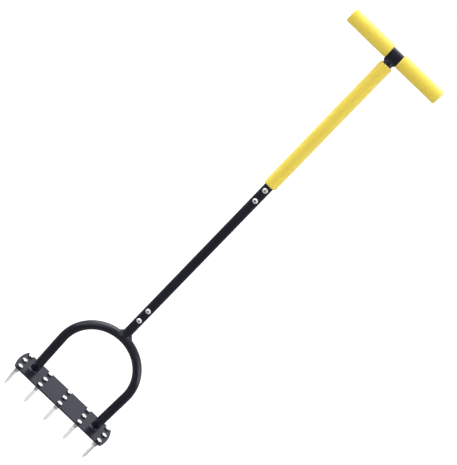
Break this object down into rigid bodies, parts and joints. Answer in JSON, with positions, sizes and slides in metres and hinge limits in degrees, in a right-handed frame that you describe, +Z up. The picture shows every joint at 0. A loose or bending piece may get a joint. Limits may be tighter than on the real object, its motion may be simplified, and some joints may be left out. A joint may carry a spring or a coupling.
{
  "type": "lawn aerator fork",
  "caption": "Upright step-on lawn aerator: a spiked steel plate under a foot arch, a bolted tube shaft and a T handle with foam grips.",
  "frame": {"origin": "bottom centre, on the level of the spike tips, on the shaft's axis", "axes": "+Z up the shaft, +X to the right along the plate and crossbar, joint bolt heads on the -Y side"},
  "size_m": [0.242, 0.08, 0.993],
  "materials": {
    "tube_paint": "black gloss powder coat",
    "plate_paint": "dark grey gloss paint",
    "spike_steel": "bright zinc plating over turned steel",
    "fastener_zinc": "bright zinc plating",
    "grip_foam": "closed-cell foam, matt yellow",
    "plug_plastic": "moulded black polyethylene"
  },
  "bodies": {
    "root": {"base_plate": "plate_paint", "spike_front_1": "spike_steel", "spike_front_2": "spike_steel", "spike_front_3": "spike_steel", "spike_front_4": "spike_steel", "spike_front_5": "spike_steel", "spike_middle_1": "spike_steel", "spike_middle_2": "spike_steel", "spike_middle_3": "spike_steel", "spike_middle_4": "spike_steel", "spike_middle_5": "spike_steel", "spike_rear_1": "spike_steel", "spike_rear_2": "spike_steel", "spike_rear_3": "spike_steel", "spike_rear_4": "spike_steel", "spike_rear_5": "spike_steel", "front_row_nuts": "fastener_zinc", "middle_row_nuts": "fastener_zinc", "rear_row_nuts": "fastener_zinc", "arch_tube": "tube_paint", "left_leg_weld": "tube_paint", "right_leg_weld": "tube_paint", "socket_stub": "tube_paint", "stub_weld": "tube_paint", "middle_tube": "tube_paint", "handle_tube": "tube_paint", "crossbar_tube": "tube_paint", "crossbar_weld": "tube_paint", "lower_joint_bolts": "fastener_zinc", "lower_joint_nuts": "fastener_zinc", "upper_joint_bolts": "fastener_zinc", "upper_joint_nuts": "fastener_zinc", "stem_grip": "grip_foam", "left_grip": "grip_foam", "right_grip": "grip_foam", "left_end_plug": "plug_plastic", "right_end_plug": "plug_plastic"}
  },
  "joints": []
}
